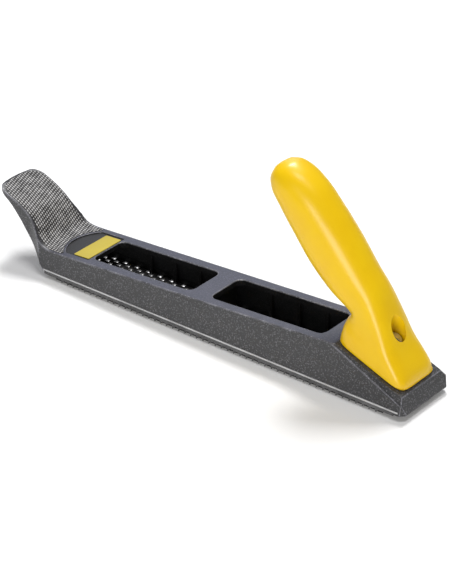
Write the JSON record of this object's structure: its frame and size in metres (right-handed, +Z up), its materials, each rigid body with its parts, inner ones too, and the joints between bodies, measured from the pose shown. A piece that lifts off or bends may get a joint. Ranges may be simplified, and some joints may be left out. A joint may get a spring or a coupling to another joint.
{
  "type": "planer file",
  "caption": "Flat perforated-blade wood rasp with a ribbed metal body, an upturned palm rest and a plastic handle that swings round from plane to file use.",
  "frame": {"origin": "on the plane of the tooth tips, under the middle of the whole tool", "axes": "+X along the tool from the palm rest to the tail, +Y across it to the left of a user at the tail, +Z up"},
  "size_m": [0.2988, 0.044, 0.12],
  "materials": {
    "casting": "satin hammered paint",
    "blade_steel": "ground and hardened",
    "handle_plastic": "semi-gloss",
    "fastener_steel": "zinc plated",
    "hook_steel": "plain",
    "label": "satin"
  },
  "bodies": {
    "body": {"body_casting": "casting", "blade": "blade_steel", "handle_nut": "fastener_steel", "label_plate": "label"},
    "handle": {"handle": "handle_plastic"},
    "screw_carrier": {"handle_washer": "fastener_steel"},
    "handle_screw": {"handle_screw": "fastener_steel"},
    "tension_hook": {"tension_hook": "hook_steel"},
    "tension_screw": {"tension_screw": "fastener_steel", "tension_washer": "fastener_steel"}
  },
  "joints": [
    {"name": "handle_swing", "type": "hinge", "parent": "body", "child": "handle", "pos_m": [0.12209, 0, 0.02227], "axis": [0.36, 0, 0.933], "range_deg": [0, 180]},
    {"name": "handle_screw_rise", "type": "slide", "parent": "handle", "child": "screw_carrier", "axis": [0.36, 0, 0.933], "range_m": [0, 0.002]},
    {"name": "handle_screw_turn", "type": "hinge", "parent": "screw_carrier", "child": "handle_screw", "pos_m": [0.12209, 0, 0.02227], "axis": [0.36, 0, 0.933], "range_deg": [0, 720]},
    {"name": "tension_hook_slide", "type": "slide", "parent": "body", "child": "tension_hook", "axis": [1, 0, 0], "range_m": [0, 0.003]},
    {"name": "tension_screw_turn", "type": "hinge", "parent": "body", "child": "tension_screw", "pos_m": [-0.10839, 0, 0.01], "axis": [-1, 0, 0], "range_deg": [0, 1350]}
  ],
  "couplings": [
    {"joint": "handle_screw_turn", "follows": "handle_screw_rise", "rad_per_m": 6283.2},
    {"joint": "tension_screw_turn", "follows": "tension_hook_slide", "rad_per_m": 7853.9}
  ]
}
